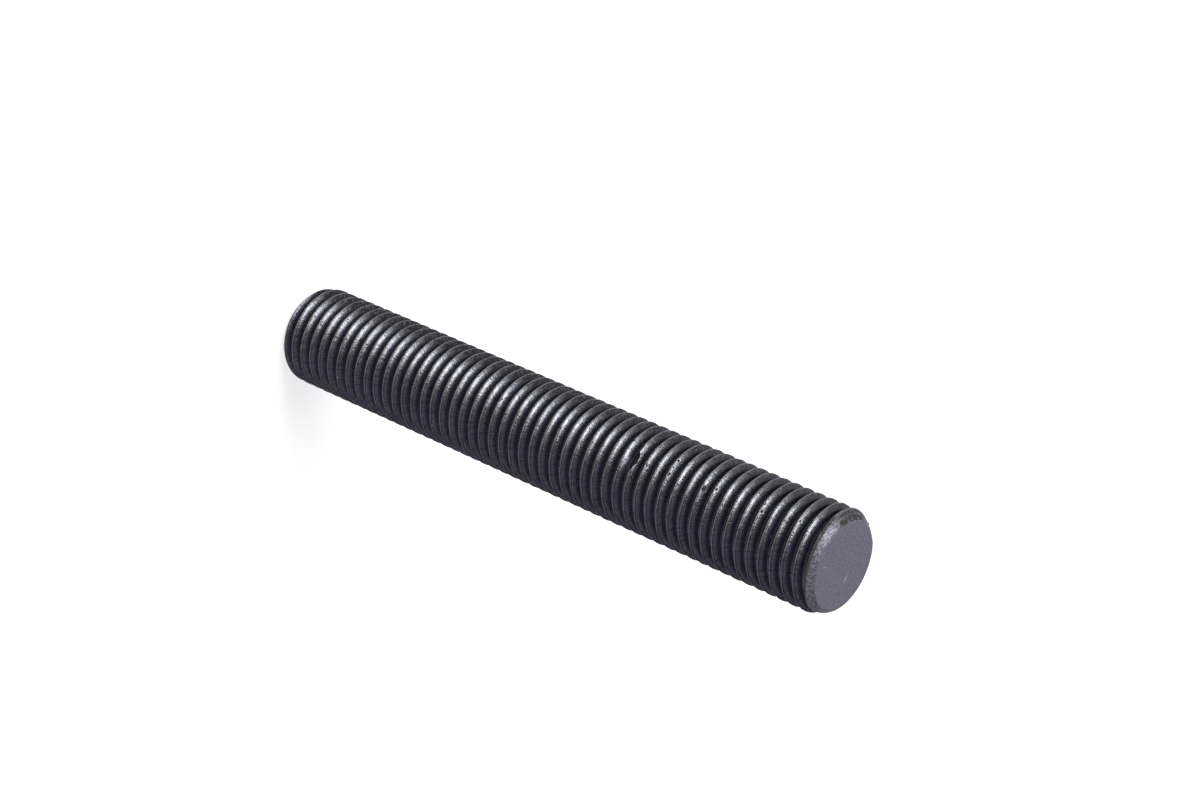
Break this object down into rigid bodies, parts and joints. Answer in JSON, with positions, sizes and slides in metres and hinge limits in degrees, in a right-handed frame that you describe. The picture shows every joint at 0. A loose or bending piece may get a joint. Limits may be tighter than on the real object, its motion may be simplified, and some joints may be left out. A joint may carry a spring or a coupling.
{
  "type": "threaded stud",
  "caption": "Straight round stud of blackened steel with a coarse right-hand thread from end to end and chamfered flat ends, for clamping flanged joints with a nut on each end.",
  "frame": {"origin": "centre of the lower end face, on the surface that the stud stands on", "axes": "+Z along the stud's axis, from the lower end to the upper end"},
  "size_m": [0.0196, 0.0196, 0.13],
  "materials": {
    "blackened_steel": "oiled black oxide, satin on the flanks, matt grey on the cut ends"
  },
  "bodies": {
    "root": {"stud": "blackened_steel"}
  },
  "joints": []
}
